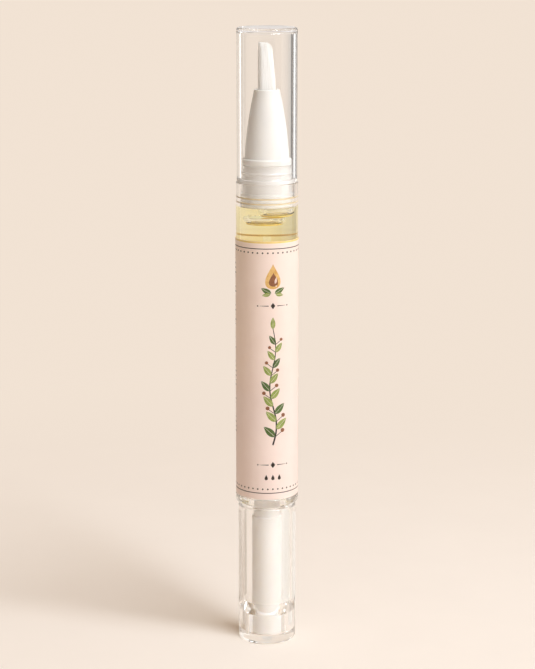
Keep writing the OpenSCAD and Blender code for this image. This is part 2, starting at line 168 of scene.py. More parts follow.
# Air under the plug: centre and radii of each bubble, the share of its height where its top is
# flat, how square its section is, and the painted golden edge of the large ones
BUBBLES = (((-0.35, -0.5, 84.57), (2.9, 2.7, 0.87)), ((1.4, -0.6, 86.3), (2.6, 2.6, 1.0)),
           ((-2.6, -1.6, 85.5), (0.26, 0.26, 0.24)), ((2.5, -2.9, 84.6), (0.2, 0.2, 0.2)),
           ((-1.9, -2.9, 85.6), (0.13, 0.13, 0.13)), ((-3.5, -1.1, 84.9), (0.16, 0.16, 0.16)))
LARGE_BUBBLES = 2
BUBBLE_STEPS = 48
BUBBLE_FLAT = 0.55
BUBBLE_POWER = 3.4
RIM_STEPS = 64
RIM_SIDES = 8
RIM_R = 0.09
RIM_REACH = 0.84
RIM_DROP = 0.94


def low(node):
    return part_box(node)[0] / MM


def high(node):
    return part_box(node)[1] / MM


# Radii and levels that come from the frame
KNOB_R = high("twist_knob").x
KNOB_TOP = high("twist_knob").z
BARREL_Z = low("barrel").z
BARREL_TOP = high("barrel").z
LIP_R = high("barrel").x
LABEL_R = high("label").x
LABEL_Z = low("label").z
LABEL_TOP = high("label").z
BARREL_R = LABEL_R - LABEL_FILM - GLUE_GAP
BORE_R = BARREL_R - BARREL_WALL
OIL_R = high("oil_fill").x
OIL_Z = low("oil_fill").z
OIL_TOP = high("oil_fill").z
SPIGOT_Z = low("neck_collar").z
NECK_TOP = high("neck_collar").z
FLANGE_R = high("neck_collar").x
CAP_R = high("cap").x
CAP_Z = low("cap").z
CAP_END = high("cap").z
HEAD_TOP = high("brush_head").z
HEAD_FLANGE_R = high("brush_head").x
TUFT_Z = low("brush_tuft").z
TUFT_TOP = high("brush_tuft").z


# Materials

PLASTIC_IOR = 1.5
OIL_IOR = 1.47
OIL_DENSITY = 95

# The middle of a noise's range, which is spread over a whole range of colour or roughness, and the
# share of its tint that clear plastic keeps where the noise is high
NOISE_MIDDLE = (0.3, 0.7)
PALER_TINT = 0.6

# How far red, green and blue light spread inside white plastic, as shares
PLASTIC_SCATTER = (1.0, 0.85, 0.7)

# Shares that the label's film lets straight through: of what is seen from the wet side, and of lamp
# light. Then the share of lamp light that it spreads to its other side, and the share of lamp light
# that passes through one side of a bristle
WET_FILM_CLEAR = 1.0
FILM_LAMP_SHARE = 0.45
FILM_SPREAD_SHARE = 0.15
BRISTLE_LAMP_SHARE = 0.9


def new_material(name):
    material = bpy.data.materials.new(name)
    material.use_nodes = True
    return material


def node_in(owner, kind, **sockets):
    """A new node of a material or the world; a socket's name has _ for each space."""
    node = owner.node_tree.nodes.new(kind)
    for socket, value in sockets.items():
        node.inputs[socket.replace("_", " ")].default_value = value
    return node


def link(owner, output, target):
    owner.node_tree.links.new(output, target)


def feed(owner, value, target):
    """Links an output to a socket, or sets the socket where the value is a number."""
    if isinstance(value, bpy.types.NodeSocket):
        link(owner, value, target)
    else:
        target.default_value = value


def worked_out(owner, operation, first, second):
    """The result of a maths node over two values."""
    node = node_in(owner, "ShaderNodeMath")
    node.operation = operation
    feed(owner, first, node.inputs[0])
    feed(owner, second, node.inputs[1])
    return node.outputs["Value"]


def mixed(owner, share, first, second):
    """The first shader where share is 0, the second where it is 1."""
    mix = node_in(owner, "ShaderNodeMixShader")
    for value, target in zip((share, first, second), mix.inputs):
        feed(owner, value, target)
    return mix.outputs["Shader"]


def output_of(owner):
    return owner.node_tree.nodes.get("Material Output") or owner.node_tree.nodes["World Output"]


def show(owner, shader):
    link(owner, shader, output_of(owner).inputs["Surface"])


def surface_of(material):
    return material.node_tree.nodes["Principled BSDF"]


def noise_in(material, scale, detail, stretch=(1, 1, 1)):
    """Noise over the object's own coordinates, where scale is in waves per metre."""
    place = node_in(material, "ShaderNodeTexCoord")
    mapping = node_in(material, "ShaderNodeMapping", Scale=stretch)
    noise = node_in(material, "ShaderNodeTexNoise", Scale=scale, Detail=detail)
    link(material, place.outputs["Object"], mapping.inputs["Vector"])
    link(material, mapping.outputs["Vector"], noise.inputs["Vector"])
    return noise.outputs["Fac"]


def colour(material, pattern, first, second):
    """Spreads the surface's colour over two colours by a pattern."""
    ramp = node_in(material, "ShaderNodeValToRGB")
    for element, position, shade in zip(ramp.color_ramp.elements, NOISE_MIDDLE, (first, second)):
        element.position = position
        element.color = (*shade, 1)
    link(material, pattern, ramp.inputs["Fac"])
    link(material, ramp.outputs["Color"], surface_of(material).inputs["Base Color"])


def roughen(material, pattern, start, end):
    """Spreads the surface's roughness from start to end by a pattern."""
    ranged = node_in(material, "ShaderNodeMapRange", From_Min=NOISE_MIDDLE[0],
                     From_Max=NOISE_MIDDLE[1], To_Min=start, To_Max=end)
    link(material, pattern, ranged.inputs["Value"])
    link(material, ranged.outputs["Result"], surface_of(material).inputs["Roughness"])


def bump(material, pattern, strength, distance):
    node = node_in(material, "ShaderNodeBump", Strength=strength, Distance=distance)
    link(material, pattern, node.inputs["Height"])
    link(material, node.outputs["Normal"], surface_of(material).inputs["Normal"])


def let_lamps_through(material, shade):
    """Passes lamp light and bounced light straight on, in this shade; what is seen stays."""
    path = node_in(material, "ShaderNodeLightPath").outputs
    light = worked_out(material, "MAXIMUM", path["Is Shadow Ray"], path["Is Diffuse Ray"])
    clear = node_in(material, "ShaderNodeBsdfTransparent", Color=(*shade, 1))
    surface = surface_of(material)
    show(material, mixed(material, light, surface.outputs["BSDF"], clear.outputs["BSDF"]))


def clear_plastic(name, tint, shade, ior=PLASTIC_IOR, rough=(0.0, 0.03), clear=1.0):
    """Polished clear plastic with the faint waviness of moulding."""
    material = new_material(name)
    surface = surface_of(material)
    surface.inputs["Transmission Weight"].default_value = clear
    surface.inputs["IOR"].default_value = ior
    flow = noise_in(material, scale=220, detail=2, stretch=(1, 1, 0.25))
    colour(material, flow, tint, [1 - (1 - c) * PALER_TINT for c in tint])
    roughen(material, flow, *rough)
    bump(material, flow, strength=0.05, distance=0.00001)
    let_lamps_through(material, shade)
    return material


def solid_plastic(name, pale, deep, rough, subsurface=0.0, depth=0.0006):
    """Moulded plastic with a soft sheen, slight clouding and a fine texture."""
    material = new_material(name)
    cloud = noise_in(material, scale=350, detail=4)
    grain = noise_in(material, scale=9000, detail=2)
    colour(material, cloud, deep, pale)
    roughen(material, cloud, rough - 0.05, rough + 0.07)
    surface = surface_of(material)
    surface.inputs["Subsurface Weight"].default_value = subsurface
    surface.inputs["Subsurface Radius"].default_value = PLASTIC_SCATTER
    surface.inputs["Subsurface Scale"].default_value = depth
    bump(material, grain, strength=0.12, distance=0.00001)
    return material


def label_film():
    """Printed film: pale pink, satin, with a fine fibre grain, and clear from inside the barrel."""
    material = new_material("label_film")
    cloud = noise_in(material, scale=240, detail=5)
    fibre = noise_in(material, scale=5200, detail=3, stretch=(1, 1, 0.35))
    colour(material, cloud, (0.92, 0.757, 0.702), (0.95, 0.796, 0.74))
    roughen(material, fibre, 0.42, 0.58)
    bump(material, fibre, strength=0.18, distance=0.000012)
    spread = node_in(material, "ShaderNodeBsdfTranslucent", Color=(0.95, 0.85, 0.78, 1))
    lit = mixed(material, FILM_SPREAD_SHARE, surface_of(material).outputs["BSDF"],
                spread.outputs["BSDF"])
    clear = node_in(material, "ShaderNodeBsdfTransparent", Color=(1.0, 0.97, 0.9, 1))
    path = node_in(material, "ShaderNodeLightPath").outputs
    passed = [worked_out(material, "MULTIPLY", path[ray], share) for ray, share in (
        ("Is Transmission Ray", WET_FILM_CLEAR), ("Is Glossy Ray", WET_FILM_CLEAR),
        ("Is Shadow Ray", FILM_LAMP_SHARE), ("Is Diffuse Ray", FILM_LAMP_SHARE))]
    total = passed[0]
    for share in passed[1:]:
        total = worked_out(material, "MAXIMUM", total, share)
    show(material, mixed(material, total, lit, clear.outputs["BSDF"]))
    return material


def ink(name, first, second):
    """Printing ink with slightly uneven cover."""
    material = new_material(name)
    cover = noise_in(material, scale=1500, detail=4)
    colour(material, cover, first, second)
    roughen(material, cover, 0.35, 0.5)
    return material


def oil_liquid():
    """Clear pale yellow oil, deeper in colour where it is thicker."""
    material = clear_plastic("oil", (1.0, 1.0, 0.98), (0.98, 0.95, 0.8), OIL_IOR, rough=(0.0, 0.01))
    absorb = node_in(material, "ShaderNodeVolumeAbsorption", Color=(0.98, 0.925, 0.36, 1),
                     Density=OIL_DENSITY)
    link(material, absorb.outputs["Volume"], output_of(material).inputs["Volume"])
    return material


def bristle_nylon():
    """White nylon filament: streaks along each strand, a soft gloss and some light through it."""
    material = new_material("bristle")
    streak = noise_in(material, scale=2600, detail=3, stretch=(1, 1, 0.05))
    colour(material, streak, (0.93, 0.915, 0.885), (1.0, 0.995, 0.985))
    roughen(material, streak, 0.3, 0.5)
    clear = node_in(material, "ShaderNodeBsdfTransparent")
    path = node_in(material, "ShaderNodeLightPath").outputs
    share = worked_out(material, "MULTIPLY", path["Is Shadow Ray"], BRISTLE_LAMP_SHARE)
    surface = surface_of(material)
    show(material, mixed(material, share, surface.outputs["BSDF"], clear.outputs["BSDF"]))
    return material


CLEAR = clear_plastic("clear_plastic", (0.979, 0.98, 0.982), (0.98, 0.98, 0.975))
KNOB_CLEAR = clear_plastic("clear_plastic_knob", (0.985, 0.978, 0.968), (0.985, 0.98, 0.97))
COLLAR = clear_plastic("collar_plastic", (0.94, 0.937, 0.935), (0.935, 0.93, 0.922),
                       rough=(0.03, 0.1), clear=0.64)
WHITE = solid_plastic("white_plastic", (0.9, 0.89, 0.87), (0.86, 0.85, 0.83), 0.36,
                      subsurface=0.12)
# A paler copy of the white plastic that scatters light deeper, for the sleeve: painted light on its
# shaded side
LIT_SLEEVE_WHITE = solid_plastic("white_plastic_lit_sleeve", (0.905, 0.89, 0.875), (0.88, 0.865, 0.85), 0.36,
                       subsurface=0.3, depth=0.001)
NATURAL = solid_plastic("natural_plastic", (0.87, 0.85, 0.81), (0.81, 0.79, 0.75), 0.42,
                        subsurface=0.2)
PISTON = solid_plastic("piston_plastic", (0.83, 0.82, 0.8), (0.78, 0.77, 0.75), 0.55)
LABEL = label_film()
OIL = oil_liquid()
# Oil between the ribs: an opaque golden solid, the oil's own colour plus painted shade that darkens
# the grooves
OIL_AND_GROOVE_SHADE = solid_plastic("oil_and_painted_groove_shade", (0.8, 0.66, 0.44), (0.7, 0.56, 0.35), 0.3,
                            subsurface=0.2)
let_lamps_through(OIL_AND_GROOVE_SHADE, (0.98, 0.96, 0.9))
# A solid golden ring at each large bubble's foot: painted refraction, the deep edge colour that
# light through the oil shows
BUBBLE_EDGE_PAINT = solid_plastic("painted_bubble_edge", (0.95, 0.66, 0.08), (0.85, 0.55, 0.05), 0.3, subsurface=0.5)
BRISTLE = bristle_nylon()
INK_DARK = ink("ink_dark", (0.022, 0.014, 0.011), (0.035, 0.022, 0.016))
INK_GREEN = ink("ink_green", (0.2, 0.26, 0.05), (0.36, 0.42, 0.12))
INK_LEAF = ink("ink_leaf", (0.05, 0.1, 0.02), (0.1, 0.17, 0.04))
INK_GOLD = ink("ink_gold", (0.62, 0.33, 0.08), (0.78, 0.52, 0.2))
INK_FOIL = ink("ink_foil", (0.82, 0.58, 0.16), (0.93, 0.72, 0.28))
INK_BROWN = ink("ink_brown", (0.2, 0.07, 0.03), (0.3, 0.12, 0.05))


def dress(piece, material):
    """Gives a piece one material."""
    piece.data.materials.clear()
    piece.data.materials.append(material)


# Turned pieces


def fillet(before, corner, after, radius):
    """Points of the arc that rounds a corner of an outline."""
    corner = Vector(corner)
    back, on = Vector(before) - corner, Vector(after) - corner
    half = back.angle(on) / 2
    reach = min(radius / math.tan(half), back.length * ROUND_SHARE, on.length * ROUND_SHARE)
    r = reach * math.tan(half)
    centre = corner + (back.normalized() + on.normalized()).normalized() * (r / math.sin(half))
    start = corner + back.normalized() * reach - centre
    end = corner + on.normalized() * reach - centre
    turn = start.angle_signed(end)
    points = []
    for i in range(ARC_STEPS + 1):
        a = -turn * i / ARC_STEPS
        points.append((centre.x + start.x * math.cos(a) - start.y * math.sin(a),
                       centre.y + start.x * math.sin(a) + start.y * math.cos(a)))
    return points


def rounded(corners):
    """An outline of (r, z) points from corners (r, z, radius of the round)."""
    points = []
    for i, (r, z, radius) in enumerate(corners):
        if radius and r > 0:
            before, after = corners[i - 1], corners[(i + 1) % len(corners)]
            points += fillet(before[:2], (r, z), after[:2], radius)
        else:
            points.append((r, z))
    return points


def held(points):
    """The outline with a point beside each end of a long side, so that its shading is straight."""
    out = []
    for i, point in enumerate(points):
        start, end = Vector(point), Vector(points[(i + 1) % len(points)])
        out.append(point)
        length = (end - start).length
        if length > SHORT_SIDE and not start.x < ON_AXIS > end.x:
            step = (end - start) * (HOLD / length)
            out += [(start + step)[:], (end - step)[:]]
    return out


def lathe(mesh, outline, steps=TURN_STEPS, gap=0.0):
    """Adds a solid turned about the z axis; a gap, in radians, stays open at the back."""
    back = math.pi / 2
    turn = (2 * math.pi - gap) / steps
    count = steps + (gap > 0)
    rings = []
    for r, z in held(outline):
        if r < ON_AXIS:
            rings.append([mesh.verts.new((0, 0, z * MM))])
        else:
            angles = [back + gap / 2 + turn * k for k in range(count)]
            rings.append([mesh.verts.new((r * MM * math.cos(a), r * MM * math.sin(a), z * MM))
                          for a in angles])
    for i, ring in enumerate(rings):
        other = rings[(i + 1) % len(rings)]
        if len(ring) == 1 and len(other) == 1:
            continue
        for k in range(steps):
            m = (k + 1) % count
            corners = [ring[k % len(ring)], ring[m % len(ring)],
                       other[m % len(other)], other[k % len(other)]]
            mesh.faces.new(list(dict.fromkeys(corners)))
    if gap:
        mesh.faces.new([ring[0] for ring in rings])
        mesh.faces.new([ring[-1] for ring in reversed(rings)])


def finished(name, mesh, body, material):
    """Turns a bmesh into a smooth piece that rides on a body."""
    data = bpy.data.meshes.new(name)
    mesh.to_mesh(data)
    mesh.free()
    piece = bpy.data.objects.new(name, data)
    bpy.context.scene.collection.objects.link(piece)
    for face in data.polygons:
        face.use_smooth = True
    data.set_sharp_from_angle(angle=SHARP_ANGLE)
    dress(piece, material)
    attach(piece, body)
    return piece


def turned(name, outline, body, material, gap=0.0):
    mesh = bmesh.new()
    lathe(mesh, outline, gap=gap)
    return finished(name, mesh, body, material)


def knob():
    """The clear cup: a thick base with the sleeve's socket, and a slanted ledge over it."""
    ledge = KNOB_BASE + SOCKET_H
    bore = KNOB_R - KNOB_WALL
    corners = [(0, 0, 0), (KNOB_R, 0, KNOB_FOOT_ROUND), (KNOB_R, KNOB_TOP, 0.35),
               (bore, KNOB_TOP, 0.2), (bore, ledge + LEDGE_H, 0.3), (SOCKET_R, ledge, 0.12),
               (SOCKET_R, KNOB_BASE, 0.1), (0, KNOB_BASE, 0)]
    piece = turned("clear_knob", rounded(corners), "knob", KNOB_CLEAR)
    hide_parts("twist_knob")


def barrel():
    """The clear tube, with a wide rounded lip at its lower end."""
    lip_top = BARREL_Z + LIP_H
    corners = [(LIP_HOLE_R, BARREL_Z, 0.1), (LIP_R, BARREL_Z, LIP_ROUND), (LIP_R, lip_top, 0.12),
               (BARREL_R, lip_top, 0.05), (BARREL_R, BARREL_TOP, 0.12), (BORE_R, BARREL_TOP, 0.12),
               (BORE_R, lip_top, 0.1), (LIP_HOLE_R, lip_top, 0.1)]
    piece = turned("clear_barrel", rounded(corners), "barrel", CLEAR)
    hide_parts("barrel")


def cap():
    """The clear cap with its flat top."""
    bore = CAP_R - CAP_WALL
    ceiling = CAP_END - CAP_TOP
    corners = [(CAP_R, CAP_Z, 0.15), (CAP_R, CAP_END, CAP_ROUND), (0, CAP_END, 0), (0, ceiling, 0),
               (bore, ceiling, 0.3), (bore, CAP_Z, 0.15)]
    piece = turned("clear_cap", rounded(corners), "cap", CLEAR)
    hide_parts("cap")


def collar():
    """The milky insert: a spigot with sealing ribs, a flange, and the cap's neck with its bead."""
    flange_z = BARREL_TOP
    flange_top = flange_z + FLANGE_H
    bead_r = CAP_R - CAP_WALL - BEAD_GAP
    bead_z = flange_top + BEAD_SHARE * NECK_H
    bore = NECK_R - NECK_WALL
    rib_r = BORE_R - RIB_GAP
    corners = [(bore, SPIGOT_Z, 0.1)]
    for i in range(RIB_COUNT):
        z = SPIGOT_Z + i * RIB_PITCH
        if i:
            corners.append((NECK_R, z, 0))
        corners += [(rib_r, z, 0.16), (rib_r, z + RIB_H, 0.16), (NECK_R, z + RIB_H, 0.05)]
    corners += [(NECK_R, flange_z, 0.05), (FLANGE_R, flange_z, 0.1), (FLANGE_R, flange_top, 0.1),
                (NECK_R, flange_top, 0.08), (NECK_R, bead_z - BEAD_HALF_H, 0.08),
                (bead_r, bead_z, 0.15), (NECK_R, bead_z + BEAD_HALF_H, 0.08),
                (NECK_R, NECK_TOP, 0.15), (bore, NECK_TOP, 0.1)]
    piece = turned("neck_insert", rounded(corners), "barrel", COLLAR)
    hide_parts("neck_collar")


def head():
    """The white brush head: a hollow stem, a flange, and a cone that swells towards its foot."""
    base = NECK_TOP + HEAD_FLANGE_H
    height = HEAD_TOP - base
    mouth_z = HEAD_TOP - MOUTH_H
    ceiling = mouth_z - HEAD_WALL
    pocket = SPIGOT_Z + PLUG_H
    post = TUBE_HOLE_R + HEAD_WALL

    def cone_r(share):
        return CONE_TIP_R + (CONE_BASE_R - CONE_TIP_R) * (1 - (1 - share) ** CONE_BULGE)

    def side(wall, first, last):
        shares = [first + (last - first) * i / CONE_STEPS for i in range(CONE_STEPS + 1)]
        return [(cone_r(share) - wall, HEAD_TOP - share * height, 0) for share in shares]

    stem_bore = STEM_R - HEAD_WALL
    corners = [(stem_bore, SPIGOT_Z, 0.1), (STEM_R, SPIGOT_Z, 0.2), (STEM_R, NECK_TOP, 0),
               (HEAD_FLANGE_R, NECK_TOP, 0.2), (HEAD_FLANGE_R, base, 0.3), (CONE_BASE_R, base, 0)]
    corners += side(0, *CONE_OUTSIDE)
    corners += [(CONE_TIP_R + CONE_TIP_EDGE, HEAD_TOP, 0.12), (MOUTH_R, HEAD_TOP, 0.12),
                (MOUTH_R, mouth_z, 0), (TUBE_HOLE_R, mouth_z, 0), (TUBE_HOLE_R, pocket, 0),
                (post, pocket, 0), (post, ceiling, 0)]
    corners += side(HEAD_WALL, (HEAD_TOP - ceiling) / height, CONE_INSIDE_END)
    corners += [(stem_bore, NECK_TOP, 0)]
    piece = turned("white_head", rounded(corners), "barrel", WHITE)
    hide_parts("brush_head")


# Other pieces


def bridge(mesh, ring, other):
    """Faces between two rings of as many points."""
    count = len(ring)
    for k in range(count):
        m = (k + 1) % count
        mesh.faces.new((ring[k], ring[m], other[m], other[k]))


def closed(mesh, rings):
    """Joins the rings of a tube and closes its two ends."""
    for ring, other in zip(rings, rings[1:]):
        bridge(mesh, ring, other)
    mesh.faces.new(list(reversed(rings[0])))
    mesh.faces.new(rings[-1])


def strand(mesh, path):
    """One bristle along a path, thinner towards its end."""
    rings = []
    for (x, y, z), (_, share) in zip(path, BRISTLE_TAPER):
        r = BRISTLE_R * share
        turn = seed.uniform(0, 1)
        angles = [math.tau * (k + turn) / BRISTLE_SIDES for k in range(BRISTLE_SIDES)]
        rings.append([mesh.verts.new(((x + r * math.cos(a)) * MM, (y + r * math.sin(a)) * MM,
                                      z * MM)) for a in angles])
    closed(mesh, rings)


def tuft():
    """750 bristles from the slice to a tip cut aslant, narrower than the root and leaning left."""
    root_z = TUFT_Z + SLICE_H
    mesh = bmesh.new()
    lathe(mesh, [(TUBE_BORE_R, TUFT_Z), (SLICE_R, TUFT_Z), (SLICE_R, root_z),
                 (TUBE_BORE_R, root_z)], SMALL_TURN_STEPS)
    rows = int(BRISTLE_FIELD_R / BRISTLE_PITCH) + 2
    for j in range(-rows, rows + 1):
        for i in range(-rows, rows + 1):
            x = (i + j % 2 / 2) * BRISTLE_PITCH + seed.uniform(-BRISTLE_STRAY, BRISTLE_STRAY)
            y = j * BRISTLE_PITCH * BRISTLE_ROW + seed.uniform(-BRISTLE_STRAY, BRISTLE_STRAY)
            if not BRISTLE_HOLE_R < math.hypot(x, y) < BRISTLE_FIELD_R:
                continue
            share = (x / BRISTLE_FIELD_R + 1) / 2
            tip = (x * TIP_WIDTH - BRUSH_LEAN + seed.uniform(-TIP_STRAY, TIP_STRAY),
                   y * TIP_DEPTH + seed.uniform(-TIP_STRAY, TIP_STRAY),
                   TUFT_TOP - TIP_SLOPE * share - TIP_ROUND * share ** TIP_ROUND_POWER
                   - seed.uniform(0.0, TIP_UNEVEN))
            base = (x, y, root_z - SLICE_H / 4)
            bow = seed.uniform(0.0, BRISTLE_BOW)
            path = []
            for t, _ in BRISTLE_TAPER:
                out = 1 + bow * math.sin(math.pi * t)
                path.append(((base[0] + (tip[0] - base[0]) * t) * out,
                             (base[1] + (tip[1] - base[1]) * t) * out,
                             base[2] + (tip[2] - base[2]) * t))
            strand(mesh, path)
    piece = finished("bristles", mesh, "barrel", BRISTLE)
    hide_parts("brush_tuft")


def bubble(mesh, centre, radii):
    """A closed hollow in the liquid: an air bubble that is flattened where it rests on the plug."""
    made = bmesh.ops.create_uvsphere(mesh, u_segments=BUBBLE_STEPS, v_segments=BUBBLE_STEPS // 2,
                                     radius=1)
    faces = set()
    for vertex in made["verts"]:
        x, y, z = vertex.co
        across = math.hypot(x, y)
        square = (across ** BUBBLE_POWER + abs(z) ** BUBBLE_POWER) ** (1 / BUBBLE_POWER)
        x, y, z = x / square, y / square, min(z / square, BUBBLE_FLAT)
        vertex.co = [(c + d * r) * MM for c, d, r in zip(centre, (x, y, z), radii)]
        faces.update(vertex.link_faces)
    bmesh.ops.reverse_faces(mesh, faces=list(faces))


def oil():
    """The oil between the piston and the plug, with the air that stays under the plug."""
    dish = PISTON_LIP_H / 2
    floor_r = OIL_R - DISH_INSET
    wet_r = BORE_R + WET_OVERLAP
    outline = [(0, OIL_Z), (floor_r, OIL_Z), (floor_r + DISH_SLOPE, OIL_Z + dish),
               (wet_r, OIL_Z + dish), (wet_r, OIL_TOP), (0, OIL_TOP)]
    mesh = bmesh.new()
    lathe(mesh, outline)
    for centre, radii in BUBBLES:
        bubble(mesh, centre, radii)
    piece = finished("oil", mesh, "barrel", OIL)
    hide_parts("oil_fill")
    squash_with_oil(piece)


def painted_bubble_edges():
    """A painted golden edge round the foot of each large bubble: a solid ring for the deep colour
    that light through the oil shows there.
    """
    mesh = bmesh.new()
    for centre, radii in BUBBLES[:LARGE_BUBBLES]:
        rings = []
        for k in range(RIM_STEPS):
            a = math.tau * k / RIM_STEPS
            ring = []
            for m in range(RIM_SIDES):
                b = math.tau * m / RIM_SIDES
                out = 1 + RIM_R * math.cos(b) / radii[0]
                point = (centre[0] + RIM_REACH * radii[0] * out * math.cos(a),
                         centre[1] + RIM_REACH * radii[1] * out * math.sin(a),
                         centre[2] - RIM_DROP * radii[2] + RIM_R * math.sin(b))
                ring.append(mesh.verts.new([c * MM for c in point]))
            rings.append(ring)
        for k, ring in enumerate(rings):
            other = rings[(k + 1) % RIM_STEPS]
            for m in range(RIM_SIDES):
                n = (m + 1) % RIM_SIDES
                mesh.faces.new((ring[m], other[m], other[n], ring[n]))
    piece = finished("painted_bubble_edges", mesh, "barrel", BUBBLE_EDGE_PAINT)
    squash_with_oil(piece)


def squash_with_oil(piece):
    """Gives a piece its own copy of its mesh; the shortening as the piston climbs is not done here.
    """
    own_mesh(piece)


def oil_and_shade_in_ribs():
    """Oil that has crept up between the spigot's ribs, as an opaque golden solid whose colour also
    paints the shade in the grooves.
    """
    inner = NECK_R - RIB_OIL_OVERLAP
    outer = BORE_R + WET_OVERLAP
    mesh = bmesh.new()
    for i in range(RIB_COUNT - 1):
        start = SPIGOT_Z + i * RIB_PITCH + RIB_H + RIB_OIL_GAP
        end = start + RIB_PITCH - RIB_H - 2 * RIB_OIL_GAP
        lathe(mesh, [(inner, start), (outer, start), (outer, end), (inner, end)])
    finished("oil_and_shade_in_ribs", mesh, "barrel", OIL_AND_GROOVE_SHADE)


def wrap_label():
    """The label film, with its seam at the back."""
    inner = LABEL_R - LABEL_FILM
    outline = [(inner, LABEL_Z), (LABEL_R, LABEL_Z), (LABEL_R, LABEL_TOP), (inner, LABEL_TOP)]
    piece = turned("label_film", outline, "barrel", LABEL, LABEL_SEAM / LABEL_R)
    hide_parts("label")


def threaded_screw():
    """The lead screw: a right-hand thread cut away on two sides, with its snap head."""
    low_z, top_z = low("lead_screw").z, high("lead_screw").z
    shoulder = top_z - SCREW_HEAD_H
    levels = int((shoulder - low_z) / SCREW_LEAD * SCREW_LEVELS)
    mesh = bmesh.new()
    rings = []
    for i in range(levels + 1):
        z = low_z + (shoulder - low_z) * i / levels
        ring = []
        for k in range(SCREW_STEPS):
            a = math.tau * k / SCREW_STEPS
            phase = (z / SCREW_LEAD - k / SCREW_STEPS) % 1
            groove = GROOVE_WIDTH - abs(phase - 0.5) * GROOVE_STEEPNESS
            r = SCREW_R - SCREW_DEPTH * min(1, max(0, groove))
            x, y = r * math.cos(a), r * math.sin(a)
            y = max(-SCREW_FLAT, min(SCREW_FLAT, y))
            ring.append(mesh.verts.new((x * MM, y * MM, z * MM)))
        rings.append(ring)
    closed(mesh, rings)
    neck = SCREW_FLAT - SNAP_UNDERCUT
    rim = SCREW_R + SNAP_RIM
    lathe(mesh, [(0, shoulder - SNAP_SUNK), (neck, shoulder - SNAP_SUNK),
                 (neck, shoulder + SNAP_NECK_H), (rim, shoulder + SNAP_NECK_H),
                 (rim, shoulder + SNAP_RIM_TOP), (neck, top_z), (0, top_z)], SMALL_TURN_STEPS)
    piece = finished("threaded_screw", mesh, "lead_screw", WHITE)
    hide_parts("lead_screw")


for make in (knob, barrel, cap, collar, head, tuft, oil, painted_bubble_edges, oil_and_shade_in_ribs, wrap_label,
             threaded_screw):
    make()

SLOTS = {part["node"]: part["material_slot"] for part in frame["record"]["subparts"]}
MATERIALS = {"clear_plastic": CLEAR, "white_plastic": WHITE, "natural_plastic": NATURAL,
             "collar_plastic": COLLAR, "piston_plastic": PISTON, "label_film": LABEL, "oil": OIL,
             "bristle": BRISTLE}
OWN_MATERIALS = {"drive_sleeve": LIT_SLEEVE_WHITE}
for name, node in frame["nodes"].items():
    dress(node, OWN_MATERIALS.get(name, MATERIALS[SLOTS[name]]))


# Print on the label: s runs round the film to the right from the front, z is height

# Width between the cuts that let a shape follow the film, height of a layer of ink, how deep it
# starts in the film, how far the front is turned to the right, and half the width of a border
PRINT_STEP = 0.25
INK = 0.006
INK_ROOT = 0.004
PRINT_SHIFT = 1.15
PRINT_HALF = 14.4

# Points round each shape, and how near each other two points count as one
LEAF_STEPS = 10
DISC_STEPS = 20
DOT_STEPS = 10
DROP_STEPS = 28
SAME_POINT = 1e-6

# Leaf: gap at its midrib, how near its foot its belly is, how full it is, and where the gap ends.
# Drop: how its point is pinched, and the width that makes up for the pinch
LEAF_SPLIT = 0.05
LEAF_BELLY = 0.8
LEAF_FULLNESS = 0.9
LEAF_SPLIT_END = 0.96
DROP_PINCH = 1.6
DROP_WIDTH = 1.25

STROKE_LAP = 0.02
DASH_WIDTHS = (0.5, 1.7)
DASH_GAP = 0.34
DASH_ROOM = 0.4
RULE = 0.16
BORDER_DOTS = 29
BORDER_DOT_R = 0.17

# Levels of the front's design: rule and dots of each border, then the rest from the top down
BORDERS = ((79.6, 78.8), (31.5, 32.3))
EMBLEM_Z = 74.3
DIVIDERS = (68.6, 37.2)
DIVIDER_REACH = 2.6
VINE = (41.2, 64.2)
VINE_STEPS = 60
VINE_LEAVES = 13
VINE_SHRINK = 0.35
SMALL_DROPS_Z = 34.7

# Left side: groups of dashed rows, downwards from the first level
ROW_TOP = 77.0
ROW_GROUPS = (5, 3, 6, 4, 7, 3, 5)
ROW_PITCH = 0.92
ROW_GROUP_GAP = 0.95
ROW_LEFT = -17.2
ROW_RIGHT = -9.3

# Right side: a framed panel, and a sprig below it
PANEL_Z = (75.4, 48.6)
PANEL_S = (9.4, 17.0)
PANEL_LINE = 0.14
SPRIG_S = 13.2


def leaf(s, z, length, width, angle):
    """Two halves of a pointed leaf on either side of its midrib."""
    a = math.radians(angle)
    halves = []
    for sign in (1, -1):
        edge = []
        for i in range(1, LEAF_STEPS + 1):
            t = i / LEAF_STEPS
            belly = width / 2 * math.sin(math.pi * t ** LEAF_BELLY) ** LEAF_FULLNESS
            edge.append((length * t, sign * (LEAF_SPLIT / 2 + belly)))
        inner = sign * LEAF_SPLIT / 2
        points = [(0, inner)] + edge + [(length * LEAF_SPLIT_END, inner)]
        halves.append([(s + x * math.cos(a) - y * math.sin(a),
                        z + x * math.sin(a) + y * math.cos(a)) for x, y in points])
    return halves


def disc(s, z, r, steps=DISC_STEPS):
    angles = [math.tau * k / steps for k in range(steps)]
    return [[(s + r * math.cos(a), z + r * math.sin(a)) for a in angles]]


def drop(s, z, r, height):
    """A drop whose point is up."""
    points = []
    for k in range(DROP_STEPS):
        a = math.tau * k / DROP_STEPS
        pinch = math.sin(a / 2) ** DROP_PINCH
        points.append((s + r * math.sin(a) * pinch * DROP_WIDTH, z + height / 2 * math.cos(a)))
    return [points]


def bar(s, z, width, height):
    """A bar from its middle."""
    return [[(s - width / 2, z - height / 2), (s + width / 2, z - height / 2),
             (s + width / 2, z + height / 2), (s - width / 2, z + height / 2)]]


def diamond(s, z, width, height):
    """A diamond from its middle."""
    return [[(s - width / 2, z), (s, z - height / 2), (s + width / 2, z), (s, z + height / 2)]]


